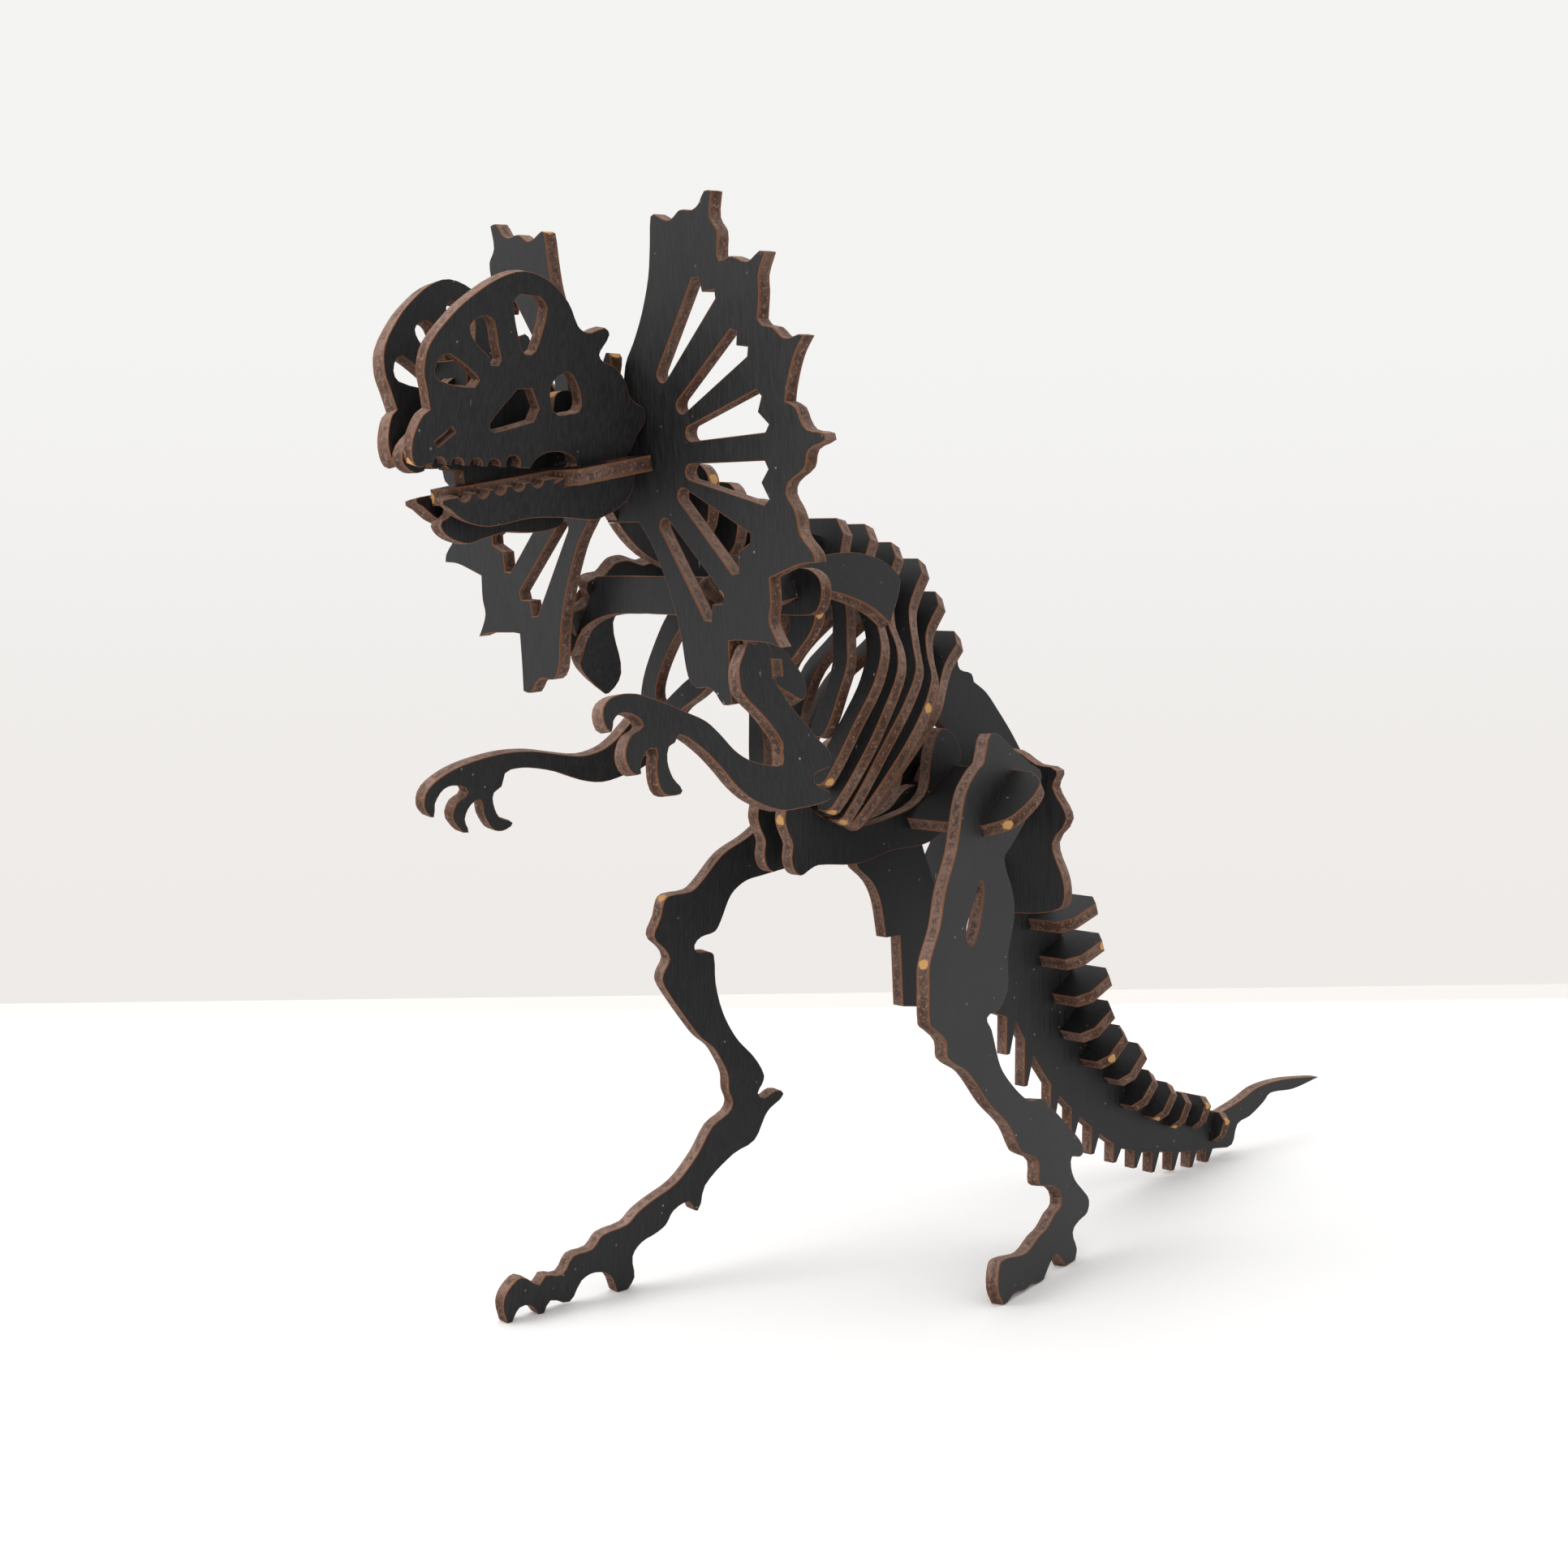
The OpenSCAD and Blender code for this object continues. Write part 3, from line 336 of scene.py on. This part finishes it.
# The direction that holds most area, counting opposite faces together
def plateNormal(normals, areas):
    signs = np.sign(normals @ np.array(plateEdge["signWay"]))
    keys = np.round(normals * signs[:, None], 2)
    found, index = np.unique(keys, axis=0, return_inverse=True)
    best = found[np.bincount(index.ravel(), weights=areas).argmax()]
    close = np.abs(normals @ best) / np.linalg.norm(best) > plateEdge["sameCosine"]
    near = normals[close]
    mean = (near * np.sign(near @ best)[:, None] * areas[close][:, None]).sum(0)
    return mean / np.linalg.norm(mean)


# Joins the loose faces and shades shallow corners smooth
def smoothRimGroup():
    group = bpy.data.node_groups.new("smoothRims", "GeometryNodeTree")
    for way in ("INPUT", "OUTPUT"):
        group.interface.new_socket("Geometry", in_out=way, socket_type="NodeSocketGeometry")
    start, end = addNode(group, "NodeGroupInput"), addNode(group, "NodeGroupOutput")
    merge = addNode(group, "GeometryNodeMergeByDistance")
    merge.inputs["Distance"].default_value = plateEdge["merge"]
    angle = addNode(group, "GeometryNodeInputMeshEdgeAngle").outputs["Unsigned Angle"]
    shallow = mathNode(group, "LESS_THAN", angle, math.radians(plateEdge["smoothAngle"]))
    faces = addNode(group, "GeometryNodeSetShadeSmooth", domain="FACE")
    edges = addNode(group, "GeometryNodeSetShadeSmooth", domain="EDGE")
    group.links.new(start.outputs[0], merge.inputs["Geometry"])
    group.links.new(merge.outputs[0], faces.inputs["Geometry"])
    group.links.new(faces.outputs[0], edges.inputs["Geometry"])
    group.links.new(shallow, edges.inputs["Shade Smooth"])
    group.links.new(edges.outputs[0], end.inputs[0])
    return group


# Where a piece's nick is: its farthest point this way; the others are drawn at random
nickWays = {
    "skull_left": (-1.0, 0.0, -0.75),
    "skull_right": (1.0, 0.0, 0.0),
    "head_core": (1.0, 0.0, 0.0),
    "jaw_right": (1.0, 0.0, 0.0),
    "frill_left": (0.0, 0.5, 1.0),
    "frill_right": (0.0, -0.3, 1.0),
    "chest_hoop": (0.0, -1.0, 0.6),
    "rib_2": (0.0, -1.0, -0.6),
    "rib_3": (0.0, -0.25, -1.0),
    "rib_4": (0.0, -0.2, -1.0),
    "rib_5": (0.0, -1.0, 0.1),
    "arm_left": (0.6, 0.0, -1.0),
    "leg_left": (-1.0, 0.0, 0.4),
    "leg_right": (-1.0, 0.0, 1.0),
    "hip_cross_front": (-1.0, -1.0, 0.0),
}
rimSmoothing = smoothRimGroup()
draws = np.random.default_rng(nick["seed"])


def nickPoint(name, points, across, middle):
    drawn = draws.normal(size=3)
    way = np.array(nickWays.get(name, drawn))
    place = points[(points @ way).argmax()]
    return place + across * (middle - place @ across)


def readVectors(items, field):
    values = np.zeros(len(items) * 3)
    items.foreach_get(field, values)
    return values.reshape(-1, 3)


def addAttribute(mesh, name, kind, field, values):
    attribute = mesh.attributes.new(name, kind, "POINT")
    attribute.data.foreach_set(field, values.astype(np.float32))


def dressPlate(name, plate):
    mesh = plate.data
    normals = readVectors(mesh.polygons, "normal")
    points = readVectors(mesh.vertices, "co")
    areas = np.zeros(len(mesh.polygons))
    mesh.polygons.foreach_get("area", areas)
    across = plateNormal(normals, areas)
    heights = points @ across
    middle = (heights.max() + heights.min()) / 2
    depth = (heights - middle) / (heights.max() - middle)
    addAttribute(mesh, "sheetDepth", "FLOAT", "value", depth)
    spot = np.tile(nickPoint(name, points, across, middle), len(points))
    addAttribute(mesh, "nickPlace", "FLOAT_VECTOR", "vector", spot)
    mesh.materials.clear()
    mesh.materials.append(paintMaterial)
    mesh.materials.append(rimMaterial)
    rims = (np.abs(normals @ across) < plateEdge["flatCosine"]).astype(np.int32)
    mesh.polygons.foreach_set("material_index", rims)
    mesh.update()
    weld = plate.modifiers.new("smoothRims", "NODES")
    weld.node_group = rimSmoothing
    bevel = plate.modifiers.new("softCorners", "BEVEL")
    bevel.width = plateEdge["bevel"]
    bevel.segments = plateEdge["bevelSteps"]
    bevel.limit_method = "ANGLE"
    bevel.angle_limit = math.radians(plateEdge["bevelAngle"])
    bevel.harden_normals = True
    bevel.use_clamp_overlap = True
    bevel.material = 1


for name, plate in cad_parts.items():
    dressPlate(name, plate)
print("plates dressed:", len(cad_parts))

# White table that ends behind the part, in front of a pale wall
table = {
    "reach": 3.0,
    "edge": 0.31,  # from the middle of the part to the table's far edge
    "turn": 47.7,  # way to the far edge, in degrees from +X
    "fade": (0.274, 0.286),  # the top darkens to the wall's tone between these
    "color": (0.93, 0.93, 0.93),
    "farColor": (0.80, 0.765, 0.74),
    "roughness": 0.6,
    "gap": 0.02 * mm,
}


def makeTable():
    turn = math.radians(table["turn"])
    out = Vector((math.cos(turn), math.sin(turn), 0))
    side = Vector((-out.y, out.x, 0))
    far, wide = table["edge"], table["reach"]
    ends = ((-wide, -wide), (far, -wide), (far, wide), (-wide, wide))
    mesh = bpy.data.meshes.new("tableTop")
    mesh.from_pydata([out * a + side * b for a, b in ends], [], [(0, 1, 2, 3)])
    top = bpy.data.objects.new("tableTop", mesh)
    bpy.context.scene.collection.objects.link(top)
    material, tree, shader, coords = newMaterial("paleTable")
    along = addNode(tree, "ShaderNodeVectorMath", operation="DOT_PRODUCT")
    along.inputs[1].default_value = out
    tree.links.new(coords, along.inputs[0])
    fade = mapRange(tree, along.outputs["Value"], table["fade"])
    color = mixColor(tree, fade, table["color"], table["farColor"])
    tree.links.new(color, shader.inputs["Base Color"])
    shader.inputs["Roughness"].default_value = table["roughness"]
    mesh.materials.append(material)
    top.location.z = min(c[2] for c in startBounds) - table["gap"]


makeTable()

# Two soft square lights: place, point aimed at, side, power and colour
lights = {
    "ceilingPanel": ((-0.5, 0.3, 1.6), (0, 0, 0.1), 1.6, 11.0, (1.0, 0.985, 0.96)),
    "leftWindow": ((-1.3, 0.75, 0.8), (0, 0, 0.12), 1.0, 10.0, (1.0, 0.97, 0.95)),
}


def areaLight(name, place, aim, side, power, color):
    data = bpy.data.lights.new(name, "AREA")
    data.shape = "RECTANGLE"
    data.size = data.size_y = side
    data.energy = power
    data.color = color
    light = bpy.data.objects.new(name, data)
    bpy.context.scene.collection.objects.link(light)
    light.location = place
    way = Vector(aim) - Vector(place)
    light.rotation_euler = way.to_track_quat("-Z", "Y").to_euler()


for name, values in lights.items():
    areaLight(name, *values)

# Pale room, warmer low down
room = {
    "low": (0.885, 0.855, 0.83),
    "high": (0.93, 0.928, 0.92),
    "rise": (-0.17, 0.12),
    "strength": 0.97,
}


def makeRoom():
    world = bpy.data.worlds.new("paleRoom")
    world.use_nodes = True
    tree = world.node_tree
    background = tree.nodes["Background"]
    height = addNode(tree, "ShaderNodeSeparateXYZ")
    tree.links.new(addNode(tree, "ShaderNodeTexCoord").outputs["Generated"], height.inputs[0])
    rise = mapRange(tree, height.outputs["Z"], room["rise"])
    tree.links.new(mixColor(tree, rise, room["low"], room["high"]), background.inputs["Color"])
    background.inputs["Strength"].default_value = room["strength"]
    bpy.context.scene.world = world


makeRoom()
bpy.context.scene.view_settings.view_transform = "Standard"

view = {
    "place": (-0.40285, -0.3303, 0.1604),
    "turn": (84.32, 0.0, -46.13),
    "lens": 51.97,
    "sensor": 36.0,
    "clipStart": 0.01,
}


def makeCamera():
    data = bpy.data.cameras.new("viewCamera")
    data.sensor_width = view["sensor"]
    data.lens = view["lens"]
    data.clip_start = view["clipStart"]
    camera = bpy.data.objects.new("viewCamera", data)
    bpy.context.scene.collection.objects.link(camera)
    camera.location = view["place"]
    camera.rotation_euler = Euler([math.radians(a) for a in view["turn"]])
    bpy.context.scene.camera = camera


makeCamera()
print("table, lights and camera ready")
